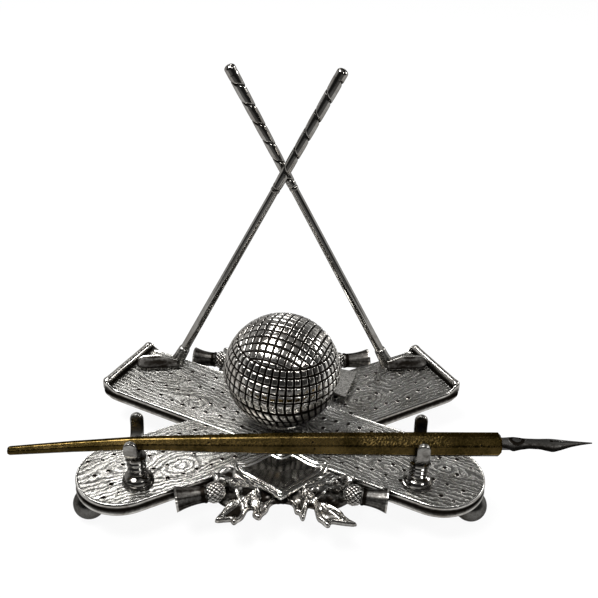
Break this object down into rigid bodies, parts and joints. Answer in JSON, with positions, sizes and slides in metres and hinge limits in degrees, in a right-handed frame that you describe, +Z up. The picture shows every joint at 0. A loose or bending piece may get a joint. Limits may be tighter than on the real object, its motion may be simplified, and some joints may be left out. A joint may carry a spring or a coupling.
{
  "type": "desk inkstand",
  "caption": "Desk inkstand: crossed boards on ball feet with a mesh-cut ball inkwell under a hinged lid, crossed golf clubs behind, thistle sprays, and a dip pen resting on forks.",
  "frame": {"origin": "on the desk, under the middle of the crossed boards", "axes": "+X to the right seen from the front, where the pen lies; +Y to the back, where the clubs stand; +Z up"},
  "size_m": [0.194, 0.1014, 0.137],
  "materials": {
    "silver_plate": "antique silver plate, polished high parts and dark oxidised hollows",
    "dark_steel": "dark polished steel",
    "bronzed_brass": "worn bronzed brass, olive brown",
    "clear_glass": "clear moulded glass"
  },
  "bodies": {
    "stand": {"base_boards": "silver_plate", "foot_front_left": "silver_plate", "foot_front_right": "silver_plate", "foot_rear_left": "silver_plate", "foot_rear_right": "silver_plate", "thistle_spray_front": "silver_plate", "thistle_spray_rear": "silver_plate", "shield_front": "silver_plate", "shield_rear": "silver_plate", "ball_plate": "silver_plate", "inkwell_bowl": "silver_plate", "bowl_bezel": "silver_plate", "hinge_bowl_knuckles": "silver_plate", "hinge_pin": "dark_steel", "glass_liner": "clear_glass", "inkwell_screw": "dark_steel", "inkwell_nut": "dark_steel", "post_left": "silver_plate", "post_right": "silver_plate", "fork_left": "silver_plate", "fork_right": "silver_plate", "post_nuts": "dark_steel", "club_head_front": "silver_plate", "club_head_rear": "silver_plate", "club_shaft_front": "silver_plate", "club_shaft_rear": "silver_plate", "club_grip_front": "silver_plate", "club_grip_rear": "silver_plate", "club_screws": "dark_steel", "crossing_pin": "silver_plate"},
    "lid": {"inkwell_lid": "silver_plate", "hinge_lid_knuckle": "silver_plate"},
    "pen": {"pen_holder": "bronzed_brass", "nib_sleeve": "dark_steel", "pen_nib": "dark_steel"}
  },
  "joints": [
    {"name": "lid_hinge", "type": "hinge", "parent": "stand", "child": "lid", "pos_m": [0, 0.0231, 0.0356], "axis": [-1, 0, 0], "range_deg": [0, 75]},
    {"name": "pen_lift", "type": "slide", "parent": "stand", "child": "pen", "axis": [0, 0, 1], "range_m": [0, 0.12]}
  ]
}
